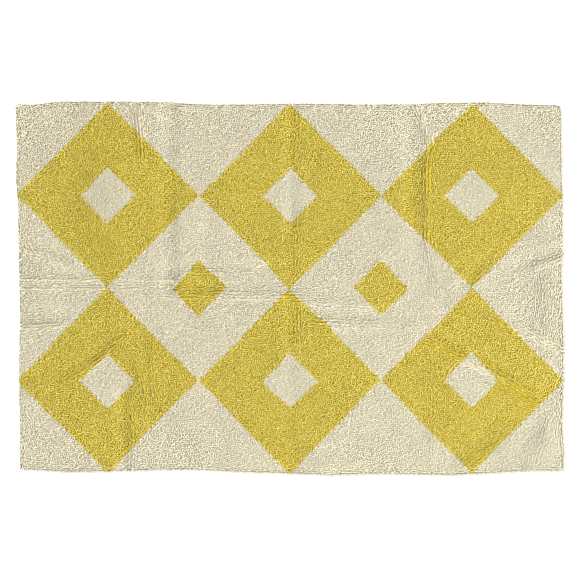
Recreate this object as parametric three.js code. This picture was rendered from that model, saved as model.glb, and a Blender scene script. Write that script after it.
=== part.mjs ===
// Hand-tufted cotton rug, lying on the floor after being stored folded.
// Millimetres, +Z up. The long side runs along X and the origin is under the middle, on the floor.
// The rug is one solid: canvas with its turned-under hem, and the short pile on it up to its tips.
// Its outline bows as a hand-made rug's does, and its top has the storage folds as soft ridges and creases.

import * as THREE from "three";

const LENGTH = 1800; // nominal, along X
const WIDTH = 1220; // nominal, along Y
const CANVAS = 2; // the cloth under the pile
const PILE = 10; // the cotton tufts
const THICKNESS = CANVAS + PILE;

const HALF_LENGTH = LENGTH / 2;
const HALF_WIDTH = WIDTH / 2;

// How far each edge bows out from the nominal rectangle, at places along it measured from its middle.
const EDGES = {
  top: [
    { along: -857, out: -4 },
    { along: -738, out: 6 },
    { along: -500, out: 6 },
    { along: -224, out: -4 },
    { along: 53, out: -1 },
    { along: 300, out: -4 },
    { along: 606, out: 3 },
    { along: 883, out: -6 },
  ],
  bottom: [
    { along: -857, out: -11 },
    { along: -738, out: -4 },
    { along: -362, out: -11 },
    { along: -60, out: -1 },
    { along: 131, out: 6 },
    { along: 290, out: 2 },
    { along: 494, out: 6 },
    { along: 843, out: -8 },
  ],
  left: [
    { along: -507, out: -10 },
    { along: -290, out: -7 },
    { along: -92, out: -10 },
    { along: 66, out: -7 },
    { along: 243, out: -4 },
    { along: 382, out: 3 },
    { along: 455, out: 0 },
    { along: 560, out: 3 },
  ],
  right: [
    { along: -567, out: 3 },
    { along: -448, out: -1 },
    { along: -231, out: 3 },
    { along: 26, out: -4 },
    { along: 125, out: -1 },
    { along: 290, out: -1 },
    { along: 402, out: -4 },
    { along: 580, out: -6 },
  ],
};

// The right-hand corners were turned more loosely than the left-hand ones.
const CORNER_RADIUS = { left: 9, right: 17 };

// The edge seen in section, from the rounded fold of the hem, just off the floor, round the leaning
// outer tufts to the top.
const RIM = [
  { inset: 6, height: 0.5 },
  { inset: 0, height: 0.45 * THICKNESS },
  { inset: 2.5, height: 0.8 * THICKNESS },
  { inset: 8, height: 0.96 * THICKNESS },
];

// Storage folds and creases in the pile. A row is a line from one place to another, half as wide as
// half says on each side, and rises to rise along its middle: a crease where that is negative.
const FOLDS = [
  { fold: "right quarter, ridge above", x0: 392, y0: 612, x1: 408, y1: 290, half: 24, rise: 3.4 },
  { fold: "right quarter, ridge below", x0: 408, y0: 290, x1: 430, y1: 130, half: 24, rise: 2.6 },
  { fold: "right quarter, crease at the top", x0: 410, y0: 606, x1: 451, y1: 484, half: 14, rise: -1.6 },
  { fold: "right quarter, crease above", x0: 447, y0: 484, x1: 438, y1: 385, half: 14, rise: -1.8 },
  { fold: "right quarter, crease below", x0: 438, y0: 385, x1: 442, y1: 160, half: 14, rise: -1.8 },
  { fold: "right quarter, crease halfway", x0: 446, y0: 150, x1: 478, y1: 0, half: 15, rise: -1.6 },
  { fold: "right quarter, foot", x0: 474, y0: -230, x1: 470, y1: -600, half: 18, rise: -1 },
  { fold: "middle, ridge above", x0: 10, y0: 612, x1: 12, y1: 230, half: 22, rise: 3.4 },
  { fold: "middle, ridge below", x0: 8, y0: 230, x1: 8, y1: -612, half: 22, rise: 2.2 },
  { fold: "middle, crease at the top", x0: 31, y0: 600, x1: 26, y1: 230, half: 13, rise: -1 },
  { fold: "middle, crease above", x0: 22, y0: 287, x1: 22, y1: 50, half: 13, rise: -1.6 },
  { fold: "middle, crease below", x0: 22, y0: -92, x1: 22, y1: -165, half: 13, rise: -1.8 },
  { fold: "middle, foot", x0: 30, y0: -165, x1: 34, y1: -610, half: 13, rise: -1 },
  { fold: "left quarter, ridge", x0: -396, y0: 590, x1: -400, y1: 30, half: 26, rise: 3.6 },
  { fold: "left quarter, inner ridge", x0: -268, y0: 230, x1: -270, y1: 60, half: 28, rise: 2.2 },
  { fold: "left quarter, ridge at the foot", x0: -540, y0: -330, x1: -542, y1: -600, half: 22, rise: 2.4 },
  { fold: "left quarter, crease", x0: -370, y0: 254, x1: -368, y1: 10, half: 14, rise: -1.6 },
  { fold: "left quarter, crease at the top", x0: -502, y0: 590, x1: -488, y1: 450, half: 14, rise: -1.8 },
  { fold: "left quarter, crease below", x0: -502, y0: -257, x1: -478, y1: -372, half: 13, rise: -1.4 },
  { fold: "left quarter, foot", x0: -524, y0: -372, x1: -522, y1: -593, half: 13, rise: -1.6 },
  { fold: "upper left, hollow", x0: -620, y0: 385, x1: -615, y1: 221, half: 60, rise: -2 },
  { fold: "halfway, ridge on the left", x0: -390, y0: 64, x1: -70, y1: 60, half: 20, rise: 2.8 },
  { fold: "halfway, ridge in the middle", x0: 60, y0: -84, x1: 250, y1: -88, half: 18, rise: 2.2 },
  { fold: "halfway, crease on the left", x0: -400, y0: -12, x1: -60, y1: -14, half: 18, rise: -2.6 },
  { fold: "halfway, crease past the middle", x0: -76, y0: -20, x1: 240, y1: -36, half: 13, rise: -1.4 },
  { fold: "halfway, crease on the right", x0: 60, y0: -114, x1: 245, y1: -120, half: 16, rise: -2 },
  { fold: "left edge, ridge above", x0: -895, y0: 160, x1: -770, y1: 106, half: 18, rise: 3 },
  { fold: "left edge, crease above", x0: -885, y0: 138, x1: -755, y1: 80, half: 13, rise: -1.8 },
  { fold: "left edge, ridge below", x0: -895, y0: -93, x1: -770, y1: -86, half: 20, rise: 3 },
  { fold: "left edge, crease below", x0: -895, y0: -130, x1: -785, y1: -124, half: 13, rise: -2.2 },
  { fold: "lower left, slant", x0: -562, y0: -175, x1: -640, y1: -238, half: 13, rise: -2.2 },
  { fold: "lower left, end of the slant", x0: -640, y0: -238, x1: -722, y1: -292, half: 13, rise: -1.8 },
  { fold: "right, ridge slanting down", x0: 480, y0: -150, x1: 700, y1: -272, half: 17, rise: 2 },
  { fold: "right, crease slanting down", x0: 468, y0: -175, x1: 583, y1: -230, half: 13, rise: -2.2 },
  { fold: "right, end of that crease", x0: 583, y0: -230, x1: 731, y1: -313, half: 13, rise: -2.2 },
  { fold: "right, ridge slanting up", x0: 573, y0: 16, x1: 639, y1: 89, half: 16, rise: 2.6 },
  { fold: "right edge, ridge", x0: 790, y0: 96, x1: 890, y1: 128, half: 17, rise: 2.4 },
  { fold: "right edge, crease", x0: 787, y0: 66, x1: 886, y1: 100, half: 13, rise: -2 },
  { fold: "right edge, hollow", x0: 840, y0: 10, x1: 846, y1: -92, half: 34, rise: -2.4 },
  { fold: "right edge, crease below", x0: 705, y0: -109, x1: 886, y1: -198, half: 14, rise: -2.2 },
  { fold: "lower right, crease", x0: 781, y0: -576, x1: 863, y1: -438, half: 15, rise: -2 },
  { fold: "lower right, short crease", x0: 738, y0: -340, x1: 814, y1: -380, half: 15, rise: -1.8 },
  { fold: "lower right, low crease", x0: 567, y0: -545, x1: 665, y1: -520, half: 15, rise: -1.6 },
];

// A crease pushes a low shoulder of pile up on each side of it, and a ridge draws some down.
const SHOULDER = { share: 0.3, at: 1.9 };
const FOLD_END_SOFTNESS = 2.5; // how much more slowly a fold fades at its ends than at its sides

// Where a fold reaches the edge, the hem stands off the floor a little and settles again inland.
const LIFTS = [
  { edge: "left", along: 84, half: 62, lift: 4 },
  { edge: "left", along: -52, half: 70, lift: 3 },
  { edge: "right", along: -60, half: 120, lift: 3.5 },
  { edge: "right", along: 330, half: 90, lift: 2 },
  { edge: "top", along: 380, half: 70, lift: 2.5 },
  { edge: "top", along: -30, half: 60, lift: 2 },
  { edge: "bottom", along: -20, half: 80, lift: 3 },
  { edge: "bottom", along: 510, half: 90, lift: 2.5 },
];
const LIFT_REACH = 110; // how far inland a lifted hem settles

// The slow rise and fall of the whole pile: wavelengths along X and Y, and a height.
const SWELLS = [
  { alongX: 610, alongY: 930, start: 0.8, height: 0.5 },
  { alongX: -340, alongY: 420, start: 2.1, height: 0.4 },
];

// The top is a grid of lines, closer together at the folds and near the edges.
const GRID = {
  x: { lines: 80, closeAt: [-HALF_LENGTH, -525, -390, 15, 410, 445, HALF_LENGTH] },
  y: { lines: 56, closeAt: [-HALF_WIDTH, -120, -80, -10, 60, 100, HALF_WIDTH] },
  reach: 38, // how far from such a place the lines stay close
  closeness: 2.4,
  steps: 600, // for adding up the spacing
};

const CREAM = new THREE.Color().setRGB(0.847, 0.82, 0.699, THREE.SRGBColorSpace);
const PILE_ROUGHNESS = 0.95;

const { clamp, lerp, smoothstep } = THREE.MathUtils;

// A value along an edge, eased from one row of its table to the next.
function bow(rows, along) {
  const last = rows[rows.length - 1];
  if (along <= rows[0].along) return rows[0].out;
  if (along >= last.along) return last.out;
  const next = rows.findIndex((row) => row.along > along);
  const [a, b] = [rows[next - 1], rows[next]];
  return lerp(a.out, b.out, smoothstep(along, a.along, b.along));
}

// Turns a place on the square from -1 to 1 each way into one on the rug, so far in from its outline.
function place(u, v, inset) {
  const [alongX, alongY] = [u * HALF_LENGTH, v * HALF_WIDTH];
  const right = HALF_LENGTH + bow(EDGES.right, alongY) - inset;
  const left = HALF_LENGTH + bow(EDGES.left, alongY) - inset;
  const top = HALF_WIDTH + bow(EDGES.top, alongX) - inset;
  const bottom = HALF_WIDTH + bow(EDGES.bottom, alongX) - inset;
  const x = lerp(-left, right, (u + 1) / 2);
  const y = lerp(-bottom, top, (v + 1) / 2);
  const radius = Math.max(CORNER_RADIUS[u > 0 ? "right" : "left"] - inset, 1);
  const [sideX, sideY] = [Math.sign(u), Math.sign(v)];
  const centreX = (u > 0 ? right : left) - radius;
  const centreY = (v > 0 ? top : bottom) - radius;
  const past = new THREE.Vector2(sideX * x - centreX, sideY * y - centreY);
  if (past.x <= 0 || past.y <= 0) return new THREE.Vector2(x, y);
  past.setLength(Math.max(past.x, past.y)); // a square corner becomes a quarter circle
  return new THREE.Vector2(sideX * (centreX + past.x), sideY * (centreY + past.y));
}

// How high one fold stands at a place.
function foldRise(row, x, y) {
  const [dx, dy] = [row.x1 - row.x0, row.y1 - row.y0];
  const length = Math.hypot(dx, dy);
  const along = ((x - row.x0) * dx + (y - row.y0) * dy) / length;
  const across = ((x - row.x0) * dy - (y - row.y0) * dx) / length;
  const beyond = along - clamp(along, 0, length);
  const off = Math.hypot(across, beyond / FOLD_END_SOFTNESS) / row.half;
  const shoulder = SHOULDER.share * Math.exp(-((off - SHOULDER.at) ** 2));
  return row.rise * (Math.exp(-off * off) - shoulder);
}

// How far the cloth is lifted off the floor at a place, by the hems that stand up near it.
function liftAt(x, y) {
  const inland = {
    left: [HALF_LENGTH + x, y],
    right: [HALF_LENGTH - x, y],
    top: [HALF_WIDTH - y, x],
    bottom: [HALF_WIDTH + y, x],
  };
  let sum = 0;
  for (const row of LIFTS) {
    const [depth, along] = inland[row.edge];
    const settled = 1 - smoothstep(depth, 0, LIFT_REACH);
    sum += row.lift * Math.exp(-(((along - row.along) / row.half) ** 2)) * settled;
  }
  return sum;
}

// The height of the pile over its own thickness: folds, lifted hems and slow swells.
function relief(x, y) {
  let sum = liftAt(x, y);
  for (const row of FOLDS) sum += foldRise(row, x, y);
  for (const swell of SWELLS) {
    const turns = x / swell.alongX + y / swell.alongY;
    sum += swell.height * Math.sin(2 * Math.PI * turns + swell.start);
  }
  return sum;
}

// Grid lines from -1 to 1, closer together near the places in closeAt.
function gridLines(half, { lines, closeAt }) {
  const density = (at) => {
    const near = closeAt.map((place) => Math.exp(-(((at - place) / GRID.reach) ** 2)));
    return 1 + GRID.closeness * Math.max(...near);
  };
  const sums = [0];
  for (let k = 0; k < GRID.steps; k += 1) {
    const at = lerp(-half, half, (k + 0.5) / GRID.steps);
    sums.push(sums[k] + density(at));
  }
  const places = [];
  for (let line = 0; line <= lines; line += 1) {
    const wanted = (line / lines) * sums[GRID.steps];
    const k = clamp(sums.findIndex((sum) => sum >= wanted), 1, GRID.steps);
    const part = (wanted - sums[k - 1]) / (sums[k] - sums[k - 1]);
    places.push(lerp(-1, 1, (k - 1 + part) / GRID.steps));
  }
  places[0] = -1;
  places[lines] = 1;
  return places;
}

// The places of the grid's border in order, anticlockwise seen from above, as [column, row].
function borderOf(columns, rows) {
  const border = [];
  for (let c = 0; c < columns; c += 1) border.push([c, 0]);
  for (let r = 0; r < rows; r += 1) border.push([columns, r]);
  for (let c = columns; c > 0; c -= 1) border.push([c, rows]);
  for (let r = rows; r > 0; r -= 1) border.push([0, r]);
  return border;
}

function rugGeometry() {
  const us = gridLines(HALF_LENGTH, GRID.x);
  const vs = gridLines(HALF_WIDTH, GRID.y);
  const [columns, rows] = [us.length - 1, vs.length - 1];
  const points = [];
  const faces = [];
  const edge = RIM[RIM.length - 1];

  const topIndex = (c, r) => r * (columns + 1) + c;
  for (let r = 0; r <= rows; r += 1) {
    for (let c = 0; c <= columns; c += 1) {
      const at = place(us[c], vs[r], edge.inset);
      const onBorder = c === 0 || r === 0 || c === columns || r === rows;
      const height = onBorder ? edge.height : THICKNESS;
      points.push(at.x, at.y, height + relief(at.x, at.y));
    }
  }
  const heightOf = (index) => points[3 * index + 2];
  for (let r = 0; r < rows; r += 1) {
    for (let c = 0; c < columns; c += 1) {
      const [a, b] = [topIndex(c, r), topIndex(c + 1, r)];
      const [d, e] = [topIndex(c, r + 1), topIndex(c + 1, r + 1)];
      // Each cell is split along the diagonal that follows a fold better.
      if (Math.abs(heightOf(a) - heightOf(e)) < Math.abs(heightOf(b) - heightOf(d))) {
        faces.push(a, b, e, a, e, d);
      } else {
        faces.push(a, b, d, b, e, d);
      }
    }
  }

  // Rings round the edge, from the top's border down to the canvas. The last one is the straight-sided
  // stretch inland of the hems that lies flat on the floor.
  const border = borderOf(columns, rows);
  let above = border.map(([c, r]) => topIndex(c, r));
  const addRing = (placeAt, heightAt) => {
    const ring = border.map(([c, r]) => {
      const at = placeAt(us[c], vs[r]);
      points.push(at.x, at.y, heightAt(at.x, at.y));
      return points.length / 3 - 1;
    });
    ring.forEach((index, k) => {
      const next = (k + 1) % ring.length;
      faces.push(above[k], index, ring[next], above[k], ring[next], above[next]);
    });
    above = ring;
  };
  const insetBy = (inset) => (u, v) => place(u, v, inset);
  for (const row of RIM.slice(1, -1).reverse()) {
    addRing(insetBy(row.inset), (x, y) => row.height + relief(x, y) * (row.height / THICKNESS));
  }
  addRing(insetBy(RIM[0].inset), (x, y) => RIM[0].height + liftAt(x, y));
  const flat = new THREE.Vector2(HALF_LENGTH - LIFT_REACH, HALF_WIDTH - LIFT_REACH);
  addRing((u, v) => new THREE.Vector2(u, v).multiply(flat), () => 0);

  const floor = above.map((index) => new THREE.Vector2(points[3 * index], points[3 * index + 1]));
  for (const [a, b, c] of THREE.ShapeUtils.triangulateShape(floor, [])) {
    faces.push(above[a], above[c], above[b]);
  }

  const geometry = new THREE.BufferGeometry();
  geometry.setAttribute("position", new THREE.Float32BufferAttribute(points, 3));
  geometry.setIndex(faces);
  geometry.computeVertexNormals();
  return geometry;
}

const rug = new THREE.Mesh(
  rugGeometry(),
  new THREE.MeshStandardMaterial({ color: CREAM, roughness: PILE_ROUGHNESS, metalness: 0 }),
);
rug.name = "rug";

const group = new THREE.Group();
group.add(rug);

export default group;
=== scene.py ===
# A hand-tufted cotton rug in two yarn colours, lying flat and seen from straight above.
# Metres, +Z up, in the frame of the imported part. The long side runs along X, and the top of the
# picture is +Y.
import math

import bpy
import numpy as np
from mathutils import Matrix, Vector


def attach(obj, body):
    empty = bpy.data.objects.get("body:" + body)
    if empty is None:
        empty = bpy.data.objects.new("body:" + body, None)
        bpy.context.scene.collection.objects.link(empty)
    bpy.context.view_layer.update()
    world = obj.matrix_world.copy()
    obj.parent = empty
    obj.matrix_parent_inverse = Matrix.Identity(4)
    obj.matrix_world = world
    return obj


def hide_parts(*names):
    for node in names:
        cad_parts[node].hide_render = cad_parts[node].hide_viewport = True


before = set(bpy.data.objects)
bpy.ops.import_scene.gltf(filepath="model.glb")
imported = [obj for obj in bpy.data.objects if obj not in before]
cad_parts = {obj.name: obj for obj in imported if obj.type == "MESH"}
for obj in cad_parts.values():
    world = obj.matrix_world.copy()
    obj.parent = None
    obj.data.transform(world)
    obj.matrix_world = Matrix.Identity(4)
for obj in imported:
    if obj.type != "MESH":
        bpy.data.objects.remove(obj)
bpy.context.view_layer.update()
print("frame loaded")

mm = 0.001

# The rug's own sizes, as in the part.
rug = {
    "length": 1.800,
    "width": 1.220,
    "canvas": 0.002,         # thickness of the cloth
    "pile": 0.010,           # height of the tufts on it
    "cornerLeft": 0.009,     # corner radii
    "cornerRight": 0.017,
    "settle": 0.110,         # how far inland a lifted hem settles
}
halfLength = rug["length"] / 2
halfWidth = rug["width"] / 2
thickness = rug["canvas"] + rug["pile"]

# How far each edge bows out, in mm: place along the edge from its middle, distance out.
edges = {
    "top": [
        (-857, -4), (-738, 6), (-500, 6), (-224, -4), (53, -1), (300, -4), (606, 3), (883, -6),
    ],
    "bottom": [
        (-857, -11), (-738, -4), (-362, -11), (-60, -1), (131, 6), (290, 2), (494, 6), (843, -8),
    ],
    "left": [
        (-507, -10), (-290, -7), (-92, -10), (66, -7), (243, -4), (382, 3), (455, 0), (560, 3),
    ],
    "right": [
        (-567, 3), (-448, -1), (-231, 3), (26, -4), (125, -1), (290, -1), (402, -4), (580, -6),
    ],
}

# Storage folds and creases, in mm: from x, y to x, y, half width, rise along the middle, and how
# far the pile is parted into strands there, where 1 is fully. A crease runs beside most ridges.
folds = [
    (392, 612, 408, 290, 24, 3.4, 0.0),        # right quarter, ridge
    (408, 290, 430, 130, 24, 2.6, 0.0),
    (412, 606, 455, 490, 15, -1.8, 1.0),       # right quarter, crease
    (455, 490, 448, 385, 15, -2.0, 1.0),
    (448, 385, 452, 160, 15, -2.0, 1.0),
    (452, 160, 482, 0, 15, -1.6, 0.8),
    (474, -230, 470, -600, 18, -1.0, 0.3),
    (10, 612, 12, 230, 22, 3.4, 0.0),          # middle, ridge
    (8, 230, 8, -612, 22, 2.2, 0.0),
    (31, 600, 26, 230, 13, -1.0, 0.15),        # middle, crease
    (22, 230, 24, 50, 14, -1.2, 0.4),
    (24, -92, 24, -165, 14, -1.6, 0.7),
    (26, -165, 30, -610, 13, -0.8, 0.2),
    (-396, 590, -400, 30, 26, 3.6, 0.0),       # left quarter, ridge
    (-268, 230, -270, 60, 28, 2.2, 0.0),
    (-540, -330, -542, -600, 22, 2.4, 0.0),
    (-368, 240, -364, 10, 22, -1.4, 0.2),      # left quarter, crease
    (-504, 590, -490, 450, 15, -2.0, 1.0),
    (-461, 590, -421, 567, 11, -1.4, 0.8),
    (-456, -175, -450, -340, 11, -1.2, 0.5),
    (-502, -257, -478, -372, 13, -1.4, 0.5),
    (-524, -372, -522, -593, 13, -1.6, 0.6),
    (-640, 395, -620, 210, 70, -2.6, 0.4),     # upper left, hollow
    (-390, 64, -70, 60, 20, 2.8, 0.0),         # halfway, ridge
    (60, -84, 250, -88, 18, 2.2, 0.0),
    (-330, 54, -150, 52, 11, -1.4, 0.6),       # halfway, creases
    (-380, -18, 0, -24, 18, -3.2, 1.2),
    (-885, 31, -372, 28, 8, -1.0, 0.9),
    (-885, 0, -372, -3, 8, -1.0, 0.8),
    (30, -42, 250, -56, 14, -1.4, 0.5),
    (100, -112, 400, -124, 16, -1.6, 0.45),
    (-895, 160, -770, 106, 18, 3.0, 0.0),      # left edge
    (-885, 138, -755, 80, 13, -1.8, 1.0),
    (-895, -93, -770, -86, 20, 3.0, 0.0),
    (-895, -130, -785, -124, 13, -2.2, 1.0),
    (-562, -175, -640, -238, 13, -2.2, 1.0),   # lower left, slant
    (-640, -238, -722, -292, 13, -1.8, 0.7),
    (480, -150, 700, -272, 17, 2.0, 0.0),      # right, slant down
    (468, -182, 583, -238, 14, -2.4, 1.1),
    (583, -238, 731, -320, 14, -2.4, 1.3),
    (573, 16, 639, 89, 16, 2.6, 0.0),          # right, slant up
    (596, 8, 640, 52, 9, -1.0, 0.5),
    (548, 36, 572, 62, 9, -1.0, 0.5),
    (790, 96, 890, 128, 17, 2.4, 0.0),         # right edge
    (787, 66, 886, 100, 13, -2.0, 1.0),
    (838, 12, 842, -92, 40, -3.0, 1.2),
    (705, -114, 886, -198, 16, -2.8, 1.3),
    (790, -590, 850, -450, 28, -2.4, 1.0),     # lower right
    (745, -340, 830, -400, 26, -2.2, 1.0),
    (590, -560, 680, -505, 26, -2.0, 0.9),
]
foldForm = {
    "shoulderShare": 0.3,    # rise or dip of the other kind on either side, as a share
    "shoulderAt": 1.9,       # and how far off it is, in half widths
    "endSoftness": 2.5,      # how slowly a fold runs out, in half widths
}

# Hems that stand off the floor where a fold reaches them, in mm: edge, along, half width, lift.
lifts = [
    ("left", 84, 62, 4.0),
    ("left", -52, 70, 3.0),
    ("right", -60, 120, 3.5),
    ("right", 330, 90, 2.0),
    ("top", 380, 70, 2.5),
    ("top", -30, 60, 2.0),
    ("bottom", -20, 80, 3.0),
    ("bottom", 510, 90, 2.5),
]

# Slow swells of the pile, in mm: wavelength along X and along Y, start, height.
swells = [(610, 930, 0.8, 0.5), (-340, 420, 2.1, 0.4)]


def ease(t):
    t = np.clip(t, 0, 1)
    return t * t * (3 - 2 * t)


def bow(name, along):
    at, out = np.array(edges[name]).T * mm
    k = np.clip(np.searchsorted(at, along) - 1, 0, len(at) - 2)
    return out[k] + (out[k + 1] - out[k]) * ease((along - at[k]) / (at[k + 1] - at[k]))


# Turns places on the square from -1 to 1 each way into ones on the rug, with its outline so far in.
def place(u, v, inset):
    right = halfLength + bow("right", v * halfWidth) - inset
    left = halfLength + bow("left", v * halfWidth) - inset
    top = halfWidth + bow("top", u * halfLength) - inset
    bottom = halfWidth + bow("bottom", u * halfLength) - inset
    x = -left + (right + left) * (u + 1) / 2
    y = -bottom + (top + bottom) * (v + 1) / 2
    radius = np.maximum(np.where(u > 0, rug["cornerRight"], rug["cornerLeft"]) - inset, mm)
    centreX = np.where(u > 0, right, left) - radius
    centreY = np.where(v > 0, top, bottom) - radius
    pastX = np.sign(u) * x - centreX
    pastY = np.sign(v) * y - centreY
    corner = (pastX > 0) & (pastY > 0)         # a square corner becomes a quarter circle
    squeeze = np.maximum(pastX, pastY) / np.maximum(np.hypot(pastX, pastY), 1e-9)
    x = np.where(corner, np.sign(u) * (centreX + pastX * squeeze), x)
    y = np.where(corner, np.sign(v) * (centreY + pastY * squeeze), y)
    return x, y


# Where places lie on a fold: along it, across it, and how far off it is in half widths.
def onFold(fold, x, y):
    x0, y0, x1, y1, half = (size * mm for size in fold[:5])
    length = math.hypot(x1 - x0, y1 - y0)
    ux, uy = (x1 - x0) / length, (y1 - y0) / length
    along = (x - x0) * ux + (y - y0) * uy
    across = (x - x0) * uy - (y - y0) * ux
    beyond = along - np.clip(along, 0, length)
    off = np.hypot(across, beyond / foldForm["endSoftness"]) / half
    return along, across, off, (uy, -ux)


def liftAt(x, y):
    inland = {
        "left": (halfLength + x, y),
        "right": (halfLength - x, y),
        "top": (halfWidth - y, x),
        "bottom": (halfWidth + y, x),
    }
    total = np.zeros_like(x)
    for edge, at, half, lift in lifts:
        depth, along = inland[edge]
        settled = 1 - ease(depth / rug["settle"])
        total += lift * mm * np.exp(-((along - at * mm) / (half * mm)) ** 2) * settled
    return total


def relief(x, y):
    total = liftAt(x, y)
    for fold in folds:
        rise = fold[5] * mm
        off = onFold(fold, x, y)[2]
        shoulder = foldForm["shoulderShare"] * np.exp(-(off - foldForm["shoulderAt"]) ** 2)
        total += rise * (np.exp(-off * off) - shoulder)
    for waveX, waveY, start, height in swells:
        turns = x / (waveX * mm) + y / (waveY * mm)
        total += height * mm * np.sin(2 * math.pi * turns + start)
    return total


# Smooth noise from -1 to 1 whose features are about one pitch across.
def drift(x, y, pitch, seed):
    cells = 256
    grid = np.random.default_rng(seed).uniform(-1, 1, (cells, cells))
    gx, gy = x / pitch + cells / 2, y / pitch + cells / 2
    ix, iy = np.floor(gx).astype(int), np.floor(gy).astype(int)
    fx, fy = ease(gx - ix), ease(gy - iy)
    a, b = grid[iy % cells, ix % cells], grid[iy % cells, (ix + 1) % cells]
    c, d = grid[(iy + 1) % cells, ix % cells], grid[(iy + 1) % cells, (ix + 1) % cells]
    return (a * (1 - fx) + b * fx) * (1 - fy) + (c * (1 - fx) + d * fx) * fy


# Moves that wind about and crowd nothing together, up to about so far.
def swirl(x, y, reach, pitch, seed):
    step = pitch * 0.05                        # short beside the pitch
    here = drift(x, y, pitch, seed)
    overX = (drift(x + step, y, pitch, seed) - here) / step
    overY = (drift(x, y + step, pitch, seed) - here) / step
    return overY * reach * pitch / 2, -overX * reach * pitch / 2


# The two-colour design: rows of large diamonds, each with a small one of the other colour in it.
design = {
    "across": 3,             # diamonds along the length
    "down": 2,               # and along the width
    "accent": 0.30,          # size of a small diamond, as a share of a large one
    "wobble": 0.004,         # how far the hand-guided outlines stray
    "wobblePitch": 0.120,
    "wobbleSeeds": (11, 12),
}


# Distance to the nearest change of colour, positive in mustard and negative in cream.
def intoMustard(x, y):
    seedX, seedY = design["wobbleSeeds"]
    x = x + design["wobble"] * drift(x, y, design["wobblePitch"], seedX)
    y = y + design["wobble"] * drift(x, y, design["wobblePitch"], seedY)
    a = rug["length"] / design["across"] / 2
    b = rug["width"] / design["down"] / 2
    px = np.abs((x + halfLength) % (2 * a) - a) / a
    py = np.abs((y + halfWidth) % (2 * b) - b) / b
    f = px + py                                # 0 in the middle of a diamond, 1 on its outline
    inner = design["accent"]
    whole = (np.abs(x) < halfLength - a) & (np.abs(y) < halfWidth - b)
    small = np.where(whole, f - (2 - inner), -1)
    level = np.maximum(np.minimum(1 - f, f - inner), small)
    return level * a * b / math.hypot(a, b)


# One wrapped output of a node, with arithmetic that adds Math nodes.
class Wire:
    def __init__(self, finish, socket):
        self.finish = finish
        self.socket = socket

    def maths(self, operation, a, b):
        return self.finish.node("ShaderNodeMath", {"operation": operation}, {0: a, 1: b})

    def __add__(self, other):
        return self.maths("ADD", self, other)

    def __sub__(self, other):
        return self.maths("SUBTRACT", self, other)

    def __mul__(self, other):
        return self.maths("MULTIPLY", self, other)

    __radd__ = __add__
    __rmul__ = __mul__


# A material being made: its tree, and the one way of adding nodes to it.
class Finish:
    def __init__(self, name):
        self.material = bpy.data.materials.new(name)
        self.material.use_nodes = True
        self.tree = self.material.node_tree
        self.shader = self.tree.nodes["Principled BSDF"]

    def node(self, kind, settings=None, inputs=None, output=0):
        made = self.tree.nodes.new(kind)
        for key, value in (settings or {}).items():
            setattr(made, key, value)
        for key, value in (inputs or {}).items():
            self.join(made.inputs[key], value)
        return Wire(self, made.outputs[output])

    def join(self, socket, value):
        if isinstance(value, Wire):
            self.tree.links.new(value.socket, socket)
        else:
            socket.default_value = value

    def attribute(self, name):
        return self.node("ShaderNodeAttribute", {"attribute_name": name}, output="Fac")

    def places(self):
        return self.node("ShaderNodeTexCoord", output="Object")

    def noise(self, vector, scale, detail=2.0):
        inputs = {"Vector": vector, "Scale": scale, "Detail": detail}
        return self.node("ShaderNodeTexNoise", {}, inputs, "Fac")

    def mix(self, factor, a, b):
        inputs = {0: factor, 6: a, 7: b}
        return self.node("ShaderNodeMix", {"data_type": "RGBA"}, inputs, 2)

    def scaled(self, colour, factor):
        inputs = {0: colour, "Scale": factor}
        return self.node("ShaderNodeVectorMath", {"operation": "SCALE"}, inputs)

    def bump(self, height, distance, strength):
        inputs = {"Height": height, "Distance": distance, "Strength": strength}
        return self.node("ShaderNodeBump", {}, inputs)

    def surface(self, sockets):
        for key, value in sockets.items():
            self.join(self.shader.inputs[key], value)
        return self.material


# A colour given as it looks on screen, from 0 to 255, as the linear one that shaders use.
def screenColour(red, green, blue):
    def linear(value):
        value = value / 255
        return value / 12.92 if value <= 0.04045 else ((value + 0.055) / 1.055) ** 2.4
    return (linear(red), linear(green), linear(blue), 1.0)


# The root colours are painted shade low in the pile; the warm and pale ones are the tips' own.
yarns = {
    "mustard": {"root": (194, 171, 19), "warm": (242, 224, 84), "pale": (247, 236, 146)},
    "cream": {"root": (220, 212, 180), "warm": (246, 239, 208), "pale": (245, 243, 236)},
}
yarnLook = {
    "patch": 9.0,            # noise scales, per metre
    "fleck": 220.0,
    "fibre": 900.0,
    "patchShare": 0.15,      # how much each of them changes the brightness
    "fleckShare": 0.2,
    "shadeShare": 0.10,      # and how much the shade given to a tuft does, its own tone with painted shade in opened folds
    "fibreDepth": 0.0006,
    "fibreStrength": 0.5,
}


# Matt cotton yarn: darker at the root than at the tip, which is painted shade low in the pile, and
# warmer or paler from tuft to tuft.
def yarnFinish(name, colours):
    finish = Finish(name)
    at = finish.places()
    tip = finish.attribute("tipness")
    shade = finish.attribute("shade")
    pale = finish.attribute("pale")
    patch = finish.noise(at, yarnLook["patch"]) - 0.5
    fleck = finish.noise(at, yarnLook["fleck"]) - 0.5
    fibre = finish.noise(at, yarnLook["fibre"], 1.0)
    end = finish.mix(pale, screenColour(*colours["warm"]), screenColour(*colours["pale"]))
    colour = finish.mix(tip, screenColour(*colours["root"]), end)
    brightness = 1.0 + yarnLook["patchShare"] * patch + yarnLook["fleckShare"] * fleck
    brightness = brightness + yarnLook["shadeShare"] * shade
    return finish.surface({
        "Base Color": finish.scaled(colour, brightness),
        "Normal": finish.bump(fibre, yarnLook["fibreDepth"], yarnLook["fibreStrength"]),
        "Roughness": 0.95,
        "Specular IOR Level": 0.15,
        "Sheen Weight": 0.15,
        "Sheen Roughness": 0.6,
    })


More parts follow.
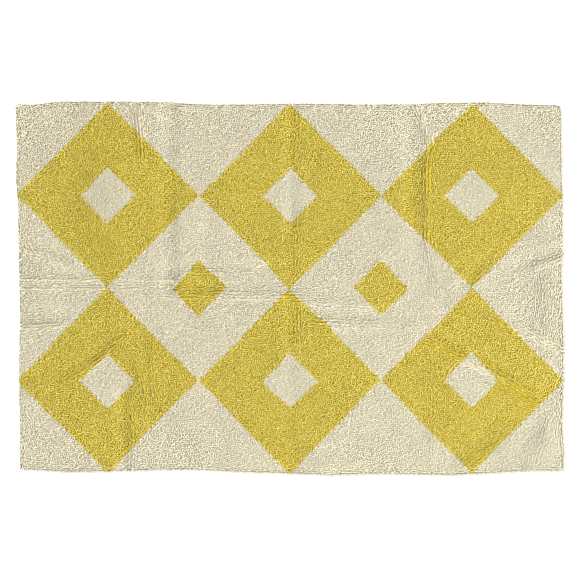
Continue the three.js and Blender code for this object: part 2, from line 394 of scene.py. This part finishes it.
canvasLook = {
    "thread": 700.0,         # threads to the metre, two ways
    "slub": 60.0,            # scale of the thick and thin places, per metre
    "slubDetail": 4.0,
    "slubShare": 0.6,        # how much they and the weave change the colour
    "weaveShare": 0.4,
    "weaveDepth": 0.0004,
    "weaveStrength": 0.6,
    "light": (205, 194, 166),
    "dark": (168, 156, 128),
}


# Plain-weave cotton canvas: two sets of threads that pass over each other in turn.
def canvasFinish():
    finish = Finish("canvas cloth")
    at = finish.places()
    part = finish.node("ShaderNodeSeparateXYZ", {}, {0: at})
    across = Wire(finish, part.socket.node.outputs[0])
    down = Wire(finish, part.socket.node.outputs[1])
    turn = canvasLook["thread"] * math.pi
    warp = finish.node("ShaderNodeMath", {"operation": "SINE"}, {0: across * turn})
    weft = finish.node("ShaderNodeMath", {"operation": "SINE"}, {0: down * turn})
    weave = warp * weft * 0.5 + 0.5
    slub = finish.noise(at, canvasLook["slub"], canvasLook["slubDetail"])
    tone = weave * canvasLook["weaveShare"] + slub * canvasLook["slubShare"]
    light, dark = screenColour(*canvasLook["light"]), screenColour(*canvasLook["dark"])
    return finish.surface({
        "Base Color": finish.mix(tone, dark, light),
        "Normal": finish.bump(weave, canvasLook["weaveDepth"], canvasLook["weaveStrength"]),
        "Roughness": 0.9,
        "Specular IOR Level": 0.2,
    })


def floorFinish():
    finish = Finish("plain floor")
    return finish.surface({
        "Base Color": (0.80, 0.80, 0.80, 1.0),
        "Emission Color": (1.0, 1.0, 1.0, 1.0),
        "Emission Strength": 0.60,
        "Roughness": 0.9,
        "Specular IOR Level": 0.1,
    })


mustardYarn = yarnFinish("mustard yarn", yarns["mustard"])
creamYarn = yarnFinish("cream yarn", yarns["cream"])
canvasCloth = canvasFinish()
print("materials made")


# Makes an object of triangles or quads from arrays.
def meshPiece(name, points, faces, materials, smooth=True):
    sides = faces.shape[1]
    mesh = bpy.data.meshes.new(name)
    mesh.vertices.add(len(points))
    mesh.vertices.foreach_set("co", points.astype(np.float32).ravel())
    mesh.loops.add(faces.size)
    mesh.loops.foreach_set("vertex_index", faces.astype(np.int32).ravel())
    mesh.polygons.add(len(faces))
    mesh.polygons.foreach_set("loop_start", np.arange(0, faces.size, sides, dtype=np.int32))
    mesh.polygons.foreach_set("use_smooth", np.full(len(faces), smooth))
    mesh.update(calc_edges=True)
    mesh.validate()
    for material in materials:
        mesh.materials.append(material)
    piece = bpy.data.objects.new(name, mesh)
    bpy.context.scene.collection.objects.link(piece)
    return piece


def pointValues(piece, name, values):
    attribute = piece.data.attributes.new(name, "FLOAT", "POINT")
    attribute.data.foreach_set("value", values.astype(np.float32))


# A map named OFBake that gives each vertex one place.
def bakeMap(piece, spots):
    layer = piece.data.uv_layers.new(name="OFBake")
    corners = np.zeros(len(piece.data.loops), dtype=np.int32)
    piece.data.loops.foreach_get("vertex_index", corners)
    layer.data.foreach_set("uv", spots[corners].astype(np.float32).ravel())


# The canvas with its turned-under hem, and the dense roots of the pile on top of it.
canvas = {
    "columns": 120,
    "rows": 82,
    "inset": 0.0020,         # the pile hangs over its edge
    "roots": 0.0030,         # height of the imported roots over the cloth
    "unevenness": 0.0006,
    "seed": 21,
    "thinnest": 0.5,         # the least it stands over the floor, as a share of its thickness
    "rounding": 0.4,         # how far the fold of the hem is rounded from below, as a share of it
    "mapWide": 0.48,         # size of its upper and of its lower side in the map
    "mapHigh": 0.97,
    "mapMargin": 0.01,
}


def makeCanvas():
    columns, rows = canvas["columns"], canvas["rows"]
    u, v = np.meshgrid(np.linspace(-1, 1, columns + 1), np.linspace(-1, 1, rows + 1))
    u, v = u.ravel(), v.ravel()
    border = (np.abs(u) == 1) | (np.abs(v) == 1)
    x, y = place(u, v, canvas["inset"])
    under = liftAt(x, y)
    randomly = np.random.default_rng(canvas["seed"])
    bumps = randomly.uniform(-1, 1, len(x)) * canvas["unevenness"]
    top = rug["canvas"] + np.where(border, under, relief(x, y) + canvas["roots"] + bumps)
    top = np.maximum(top, rug["canvas"] * canvas["thinnest"])
    under = np.where(border, under + rug["canvas"] * canvas["rounding"], under)
    points = np.concatenate([np.stack([x, y, top], 1), np.stack([x, y, under], 1)])
    index = np.arange((columns + 1) * (rows + 1)).reshape(rows + 1, columns + 1)
    corners = [index[:-1, :-1], index[:-1, 1:], index[1:, 1:], index[1:, :-1]]
    cells = np.stack(corners, 2).reshape(-1, 4)
    below = cells[:, ::-1] + len(x)
    around = np.concatenate([index[0, :-1], index[:-1, -1], index[-1, :0:-1], index[:0:-1, 0]])
    following = np.roll(around, -1)
    rim = np.stack([around + len(x), following + len(x), following, around], 1)
    faces = np.concatenate([cells, below, rim])
    piece = meshPiece("canvas", points, faces, [canvasCloth, mustardYarn, creamYarn])
    middleX, middleY = x[cells].mean(1), y[cells].mean(1)
    # The top takes the yarn's root colour, painted shade between the tufts, as it has no tipness.
    colours = np.where(intoMustard(middleX, middleY) > 0, 1, 2)
    kinds = np.concatenate([colours, np.zeros(len(below) + len(rim), int)])
    piece.data.polygons.foreach_set("material_index", kinds.astype(np.int32))
    spotX = (x / rug["length"] + 0.5) * canvas["mapWide"] + canvas["mapMargin"]
    spotY = y / rug["width"] * canvas["mapHigh"] + 0.5
    sides = [np.stack([spotX, spotY], 1), np.stack([spotX + 0.5, spotY], 1)]
    bakeMap(piece, np.concatenate(sides))
    return piece


canvasPiece = makeCanvas()
print("canvas made")

# The tufts, punched in rows along the length. The two yarn ends of each fan out along one line.
pile = {
    "row": 0.0066,           # between rows
    "tuft": 0.0064,          # between tufts in a row
    "edge": 0.0018,          # from the outline to the outer row
    "halfLong": 0.0037,      # half the length and width of a tuft, seen from above
    "halfWide": 0.0020,
    "shoulder": 0.0021,      # how far its shoulders lie below its tips
    "sizeStray": 0.07,       # how much the tufts differ in size and in height, as shares
    "uneven": 0.08,
    "lowest": 0.5,           # the least height that lean leaves, as a share
    "foot": 0.0005,          # how far over the canvas a tuft starts
    "rimFoot": 0.0008,       # and how far over the floor at the hem
    "lean": 0.0005,          # stray lean of a tuft
    "rimLean": 0.0012,       # how far the outer row leans out
    "rimReach": 0.030,       # how far in from there the rows still lean and stay straight
    "rimStart": 0.05,        # how near the hem tufts start at the floor, where 1 is on it
    "rimTurn": 0.3,          # how far the tufts of the outer row give up their own turn
    "rimJitter": 0.3,        # how much they stray on their own, as a share of what others do
    "rimRootShade": 0.60,        # how much painted shade, the colour of their roots, darkens the outer row
    "patchLean": 0.0007,     # lean shared by a patch of pile
    "patchPitch": 0.040,
    "patchSeeds": (41, 42),
    "turnPitch": 0.018,      # tufts this near each other lie much the same way
    "turnStray": 2.0,
    "turnSeed": 45,
    "wander": 0.005,         # how far the rows stray
    "wanderPitch": 0.055,
    "wanderSeed": 43,
    "stray": 0.0022,         # how far tufts stray from the rows with their neighbours
    "strayPitch": 0.015,
    "straySeed": 44,
    "jitter": 0.0019,        # and on their own
    "clear": 0.0075,         # tufts nearer to each other than this move apart
    "spreadShare": 0.25,     # how far each does in one turn, as a share of what they lack
    "spreadTurns": 4,
    "outlineRows": 2,        # rows beside a change of colour that follow it
    "outlinePull": 0.6,      # and how closely they do
    "outlineSlope": 0.2,     # least slope reckoned with, which keeps moves at corners short
    "paleMiddle": 0.5,       # how pale the tips are, from 0 to 1, and how they differ
    "paleSpread": 0.4,
    "shadeMost": 2.2,        # the most that a tuft differs in shade
    "seed": 31,
}


# Moves tufts near a change of colour into rows that follow it, as the outline is punched first.
def followOutline(x, y):
    step = 0.0005                              # over which the slope is taken
    level = intoMustard(x, y)
    gradX = (intoMustard(x + step, y) - level) / step
    gradY = (intoMustard(x, y + step) - level) / step
    steep = np.maximum(np.hypot(gradX, gradY), pile["outlineSlope"])
    rows = np.abs(level) / pile["row"]
    wanted = np.sign(level) * (np.floor(rows) + 0.5) * pile["row"]
    near = rows < pile["outlineRows"]
    move = np.where(near, (wanted - level) * pile["outlinePull"], 0) / steep ** 2
    return x + gradX * move, y + gradY * move


# Moves tufts in a grid of rows apart where they are too near. Those on its border stay on it.
def spread(x, y, shape):
    x, y = x.reshape(shape), y.reshape(shape)
    around = [(0, 1), (1, -1), (1, 0), (1, 1), (0, 2), (2, 0), (1, 2), (1, -2), (2, 1), (2, -1)]
    for turn in range(pile["spreadTurns"]):
        pushX, pushY = np.zeros(shape), np.zeros(shape)
        for down, over in around:
            here = (slice(0, shape[0] - down), slice(max(0, -over), shape[1] - max(0, over)))
            there = (slice(down, shape[0]), slice(max(0, over), shape[1] + min(0, over)))
            apartX, apartY = x[there] - x[here], y[there] - y[here]
            apart = np.maximum(np.hypot(apartX, apartY), 1e-6)
            push = pile["spreadShare"] * np.maximum(pile["clear"] / apart - 1, 0)
            push = np.minimum(push, 1)
            pushX[here] -= push * apartX
            pushY[here] -= push * apartY
            pushX[there] += push * apartX
            pushY[there] += push * apartY
        pushX[:, [0, -1]] = 0
        pushY[[0, -1]] = 0
        x, y = x + pushX, y + pushY
    return x.ravel(), y.ravel()


# Random values for a grid of tufts, each unlike its neighbours', with a spread of about 1.
def unlikeNeighbours(randomly, shape):
    values = randomly.normal(0, 1, (shape[0] + 2, shape[1] + 2))
    beside = values[1:-1, :-2] + values[1:-1, 2:] + values[:-2, 1:-1] + values[2:, 1:-1]
    return ((values[1:-1, 1:-1] - beside / 4) / math.sqrt(1.25)).ravel()


# How folds part the pile into strands, and the painted shade that darkens the opened pile.
strands = {
    "move": 0.0038,          # how far they move the tips
    "footShare": 0.4,        # share of that by which whole tufts move, and by which they lean
    "tipShare": 0.6,
    "apart": 0.0110,         # between strands
    "combed": 0.016,         # wider folds than this are parted less neatly
    "most": 0.8,             # parting beyond which the tips move no further
    "middle": 0.7,           # how far they are parted on the whole, and how this varies
    "vary": 0.6,
    "varyMost": 1.2,
    "varyPitch": 0.014,
    "varyStretch": 0.5,
    "varySeed": 50,
    "wind": 0.003,           # how far strands wind
    "windPitch": 0.030,
    "windSeed": 90,
    "sink": 0.10,            # how much shorter the pile stands there, as a share
    "rootShade": 0.30,           # how much painted shade, the colour of its roots, takes over from the tips there
    "rootShadeMost": 2,
    "dimmed": 1.1,           # how much deeper in shade it is
}


# What the folds do to tips at such places: how far the pile is combed there and how far opened,
# which way its strands run, as the cosine and sine of twice their angle, and how the tips move.
def parted(x, y):
    amount = np.zeros_like(x)
    alike = np.zeros_like(x)
    unlike = np.zeros_like(x)
    moveX = np.zeros_like(x)
    moveY = np.zeros_like(x)
    opened = np.zeros_like(x)
    for number, fold in enumerate(folds):
        along, across, off, (nx, ny) = onFold(fold, x, y)
        half, parting = fold[4] * mm, fold[6]
        near = parting * np.exp(-off * off)
        shorter = along * strands["varyStretch"]
        varied = drift(shorter, across, strands["varyPitch"], strands["varySeed"] + number)
        ragged = np.clip(strands["middle"] + strands["vary"] * varied, 0, strands["varyMost"])
        wind = drift(along, across, strands["windPitch"], strands["windSeed"] + number)
        wandering = across + strands["wind"] * wind
        combed = strands["move"] * min(1, strands["combed"] / half)
        push = np.minimum(near, strands["most"]) * ragged * combed
        push = push * np.sin(2 * math.pi * wandering / strands["apart"])
        opened = np.maximum(opened, near * ragged)
        moveX += nx * push
        moveY += ny * push
        amount = np.maximum(amount, near)
        alike += near * (ny * ny - nx * nx)
        unlike += near * (-2 * nx * ny)
    return amount, opened, alike, unlike, moveX, moveY


# The tilt of pile that stands square on a slope: how far its tips lean, for a height of 1.
def tilted(x, y):
    step = 0.002                               # either way
    slopeX = (relief(x + step, y) - relief(x - step, y)) / (2 * step)
    slopeY = (relief(x, y + step) - relief(x, y - step)) / (2 * step)
    return -slopeX, -slopeY


def makePile():
    randomly = np.random.default_rng(pile["seed"])
    rows = round((rug["width"] - 2 * pile["edge"]) / pile["row"])
    tufts = round((rug["length"] - 2 * pile["edge"]) / pile["tuft"])
    shape = (rows + 1, tufts + 1)
    u, v = np.meshgrid(np.linspace(-1, 1, tufts + 1), np.linspace(-1, 1, rows + 1))
    stagger = np.where(np.arange(rows + 1) % 2 == 0, 0.5, -0.5)[:, None] / tufts
    inner = (np.abs(u) < 1) & (np.abs(v) < 1)
    u = u + np.where(inner, stagger, 0)
    u, v, inner = u.ravel(), v.ravel(), inner.ravel()
    x, y = place(u, v, pile["edge"])

    def stray():
        return randomly.normal(0, 1, len(u))

    # How near a tuft is to the hem, and which way out is.
    outX = ease((np.abs(u) - 1) * halfLength / pile["rimReach"] + 1) * np.sign(u)
    outY = ease((np.abs(v) - 1) * halfWidth / pile["rimReach"] + 1) * np.sign(v)
    rim = np.maximum(np.abs(outX), np.abs(outY))
    depth = np.minimum((1 - np.abs(u)) * halfLength, (1 - np.abs(v)) * halfWidth)
    inland = ease(depth / pile["rimReach"])

    wanderX, wanderY = swirl(x, y, pile["wander"], pile["wanderPitch"], pile["wanderSeed"])
    strayX, strayY = swirl(x, y, pile["stray"], pile["strayPitch"], pile["straySeed"])
    loose = pile["jitter"] * np.where(inner, 1, pile["rimJitter"])
    x = x + inland * (wanderX + strayX) + stray() * loose
    y = y + inland * (wanderY + strayY) + stray() * loose
    x, y = followOutline(*spread(x, y, shape))

    tiltX, tiltY = tilted(x, y)
    seedX, seedY = pile["patchSeeds"]
    patchX = drift(x, y, pile["patchPitch"], seedX) * pile["patchLean"]
    patchY = drift(x, y, pile["patchPitch"], seedY) * pile["patchLean"]
    leanX = stray() * pile["lean"] + patchX + tiltX * rug["pile"] + outX * pile["rimLean"]
    leanY = stray() * pile["lean"] + patchY + tiltY * rug["pile"] + outY * pile["rimLean"]
    amount, opened, alike, unlike, moveX, moveY = parted(x + leanX, y + leanY)

    # Twice the angle of a tuft: free in the field, along a fold's strands, and along the hem.
    free = 2 * math.pi * drift(x, y, pile["turnPitch"], pile["turnSeed"])
    free = free + 2 * pile["turnStray"] * stray()
    held = np.clip(1 - amount, 0, 1) * (1 - pile["rimTurn"] * rim)
    onHem = np.where(np.abs(outY) >= np.abs(outX), 1, -1)
    alike = held * np.cos(free) + 2 * alike + rim * onHem
    unlike = held * np.sin(free) + 2 * unlike

    size = 1 + pile["sizeStray"] * stray()
    pale = pile["paleMiddle"] + pile["paleSpread"] * unlikeNeighbours(randomly, shape)
    shade = np.clip(unlikeNeighbours(randomly, shape), -pile["shadeMost"], pile["shadeMost"])
    tall = 1 + pile["uneven"] * unlikeNeighbours(randomly, shape)
    # Painted shade where a fold opens the pile, shown as the root colour; the outer row gets it
    # too.
    rootShade = strands["rootShade"] * np.minimum(opened, strands["rootShadeMost"])
    return {
        "x": x + moveX * strands["footShare"],
        "y": y + moveY * strands["footShare"],
        "leanX": leanX + moveX * strands["tipShare"],
        "leanY": leanY + moveY * strands["tipShare"],
        "turn": np.arctan2(unlike, alike) / 2,
        "slopeX": -tiltX,
        "slopeY": -tiltY,
        "rim": rim,
        "mustard": intoMustard(x, y) > 0,
        "size": size,
        "pale": np.clip(pale, 0, 1),
        # Painted shade where a fold opens the pile, on top of each tuft's own tone.
        "shade": shade - strands["dimmed"] * opened,
        "rootShade": np.maximum(rootShade, np.where(inner, 0, pile["rimRootShade"])),
        "reach": rug["pile"] * tall * (1 - strands["sink"] * opened),
    }


# A tuft from its foot up: its points seen from above in halves of its length and width, how large
# it is there, how much of its lean and of its tip's colour it has, and its size in the map.
# Less tipness means more of the root colour, which is painted shade low in the pile.
tuftLevels = {
    "foot": {
        "spots": [(0.5, 0.87), (-1.0, 0.0), (0.5, -0.87)],
        "size": 0.80,
        "lean": 0.1,
        "tipness": 0.0,
        "map": 0.47,
    },
    "shoulders": {
        "spots": [(1.0, -0.75), (1.0, 0.75), (-1.0, 0.75), (-1.0, -0.75)],
        "size": 1.0,
        "lean": 0.8,
        "tipness": 0.6,
        "map": 0.18,
    },
    "tips": {
        "spots": [(0.5, 0.0), (-0.5, 0.0)],
        "size": 1.0,
        "lean": 1.0,
        "tipness": 1.0,
        "map": 0.18,
    },
}

# Its triangles, as numbers of those points in that order.
tuftFaces = [
    (0, 4, 3), (0, 5, 4), (0, 1, 5), (1, 6, 5), (1, 2, 6), (2, 3, 6), (2, 0, 3),
    (3, 4, 7), (4, 5, 8), (4, 8, 7), (5, 6, 8), (6, 3, 7), (6, 7, 8),
]


# Builds tufts, each a small block of yarn on a narrower foot, with a ridge along its top.
def makeTufts(name, tufts, material):
    count = len(tufts["x"])
    ground = rug["canvas"] + relief(tufts["x"], tufts["y"])
    onHem = tufts["rim"] > pile["rimStart"]
    bottom = np.where(onHem, pile["rimFoot"] - rug["canvas"], pile["foot"])
    lean = np.hypot(tufts["leanX"], tufts["leanY"])
    lowest = pile["lowest"] * rug["pile"]
    height = np.sqrt(np.maximum(tufts["reach"] ** 2 - lean ** 2, lowest ** 2))
    rises = {"foot": bottom, "shoulders": height - pile["shoulder"], "tips": height}
    cos, sin = np.cos(tufts["turn"]), np.sin(tufts["turn"])

    points, tipness, spots = [], [], []
    for key, level in tuftLevels.items():
        for far, wide in level["spots"]:
            along = far * level["size"] * tufts["size"] * pile["halfLong"]
            across = wide * level["size"] * tufts["size"] * pile["halfWide"]
            dx, dy = along * cos - across * sin, along * sin + across * cos
            up = ground + rises[key] + tufts["slopeX"] * dx + tufts["slopeY"] * dy
            points.append(np.stack([
                tufts["x"] + tufts["leanX"] * level["lean"] + dx,
                tufts["y"] + tufts["leanY"] * level["lean"] + dy,
                np.maximum(up, 0),             # nothing goes into the floor
            ], 1))
            tipness.append(level["tipness"])
            spots.append((far * level["map"], wide * level["map"]))

    points = np.stack(points, 1)
    each = points.shape[1]
    faces = (np.arange(count)[:, None, None] * each + np.array(tuftFaces)[None]).reshape(-1, 3)
    piece = meshPiece(name, points.reshape(-1, 3), faces, [material])
    # Painted shade: the root colour takes over where a fold opens the pile and in the outer row.
    tipness = np.array(tipness)[None] * (1 - tufts["rootShade"])[:, None]
    pointValues(piece, "tipness", tipness.ravel())
    pointValues(piece, "shade", np.repeat(tufts["shade"], each))
    pointValues(piece, "pale", np.repeat(tufts["pale"], each))

    # In the map each tuft is spread out in a cell of its own, its tips in the middle.
    cells = math.ceil(math.sqrt(count))
    corner = np.stack([np.arange(count) % cells, np.arange(count) // cells], 1) + 0.5
    bakeMap(piece, ((corner[:, None, :] + np.array(spots)[None]) / cells).reshape(-1, 2))
    return piece


allTufts = makePile()
thirds = ("Left", "Middle", "Right")
for colour, material, chosen in (
    ("mustard", mustardYarn, allTufts["mustard"]),
    ("cream", creamYarn, ~allTufts["mustard"]),
):
    wanted = np.flatnonzero(chosen)
    wanted = wanted[np.argsort(allTufts["x"][wanted], kind="stable")]
    for third, numbers in zip(thirds, np.array_split(wanted, len(thirds))):
        some = {key: values[numbers] for key, values in allTufts.items()}
        piece = makeTufts(f"{colour}Pile{third}", some, material)
        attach(piece, "root")
        print(f"{piece.name}: {len(numbers)} tufts, {len(piece.data.polygons)} triangles")

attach(canvasPiece, "root")
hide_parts("rug")
print("pile made")

# The floor, the light and the camera.
stage = {
    "floorSize": 12.0,
    "floorBelow": 0.0005,    # how far it lies under the rug
    "lens": 85.0,
    "sensor": 36.0,
    "picturePixels": 578,
    "rugPixels": 547,        # the rug's length in the picture
    "centreX": 290.0,        # the picture's column and row of the rug's middle
    "centreY": 288.3,
}


def makeFloor():
    half = stage["floorSize"] / 2
    points = np.array([(-half, -half, 0), (half, -half, 0), (half, half, 0), (-half, half, 0)])
    floor = meshPiece("floor", points, np.array([[0, 1, 2, 3]]), [floorFinish()], False)
    floor.location.z = -stage["floorBelow"]


light = {
    "sky": 0.49,             # even light from all round
    "sun": 4.66,             # soft light from the top left of the picture
    "sunFrom": (-0.66, 0.50, 0.58),
    "sunSoftness": 24,       # degrees
}


def makeLight():
    world = bpy.data.worlds.new("soft light")
    world.use_nodes = True
    background = world.node_tree.nodes["Background"]
    background.inputs["Color"].default_value = (1.0, 1.0, 1.0, 1.0)
    background.inputs["Strength"].default_value = light["sky"]
    bpy.context.scene.world = world
    sun = bpy.data.lights.new("window light", "SUN")
    sun.energy = light["sun"]
    sun.angle = math.radians(light["sunSoftness"])
    lamp = bpy.data.objects.new("window light", sun)
    lamp.rotation_euler = Vector(light["sunFrom"]).to_track_quat("Z", "Y").to_euler()
    bpy.context.scene.collection.objects.link(lamp)
    bpy.context.scene.view_settings.view_transform = "Standard"


def makeCamera():
    data = bpy.data.cameras.new("camera")
    data.lens = stage["lens"]
    data.sensor_width = stage["sensor"]
    camera = bpy.data.objects.new("camera", data)
    bpy.context.scene.collection.objects.link(camera)
    metresPerPixel = rug["length"] / stage["rugPixels"]
    across = metresPerPixel * stage["picturePixels"]
    away = across * stage["lens"] / stage["sensor"]
    offX = (stage["picturePixels"] / 2 - stage["centreX"]) * metresPerPixel
    offY = (stage["centreY"] - stage["picturePixels"] / 2) * metresPerPixel
    camera.location = (offX, offY, away + thickness)
    bpy.context.scene.camera = camera


makeFloor()
makeLight()
makeCamera()
print("stage made")
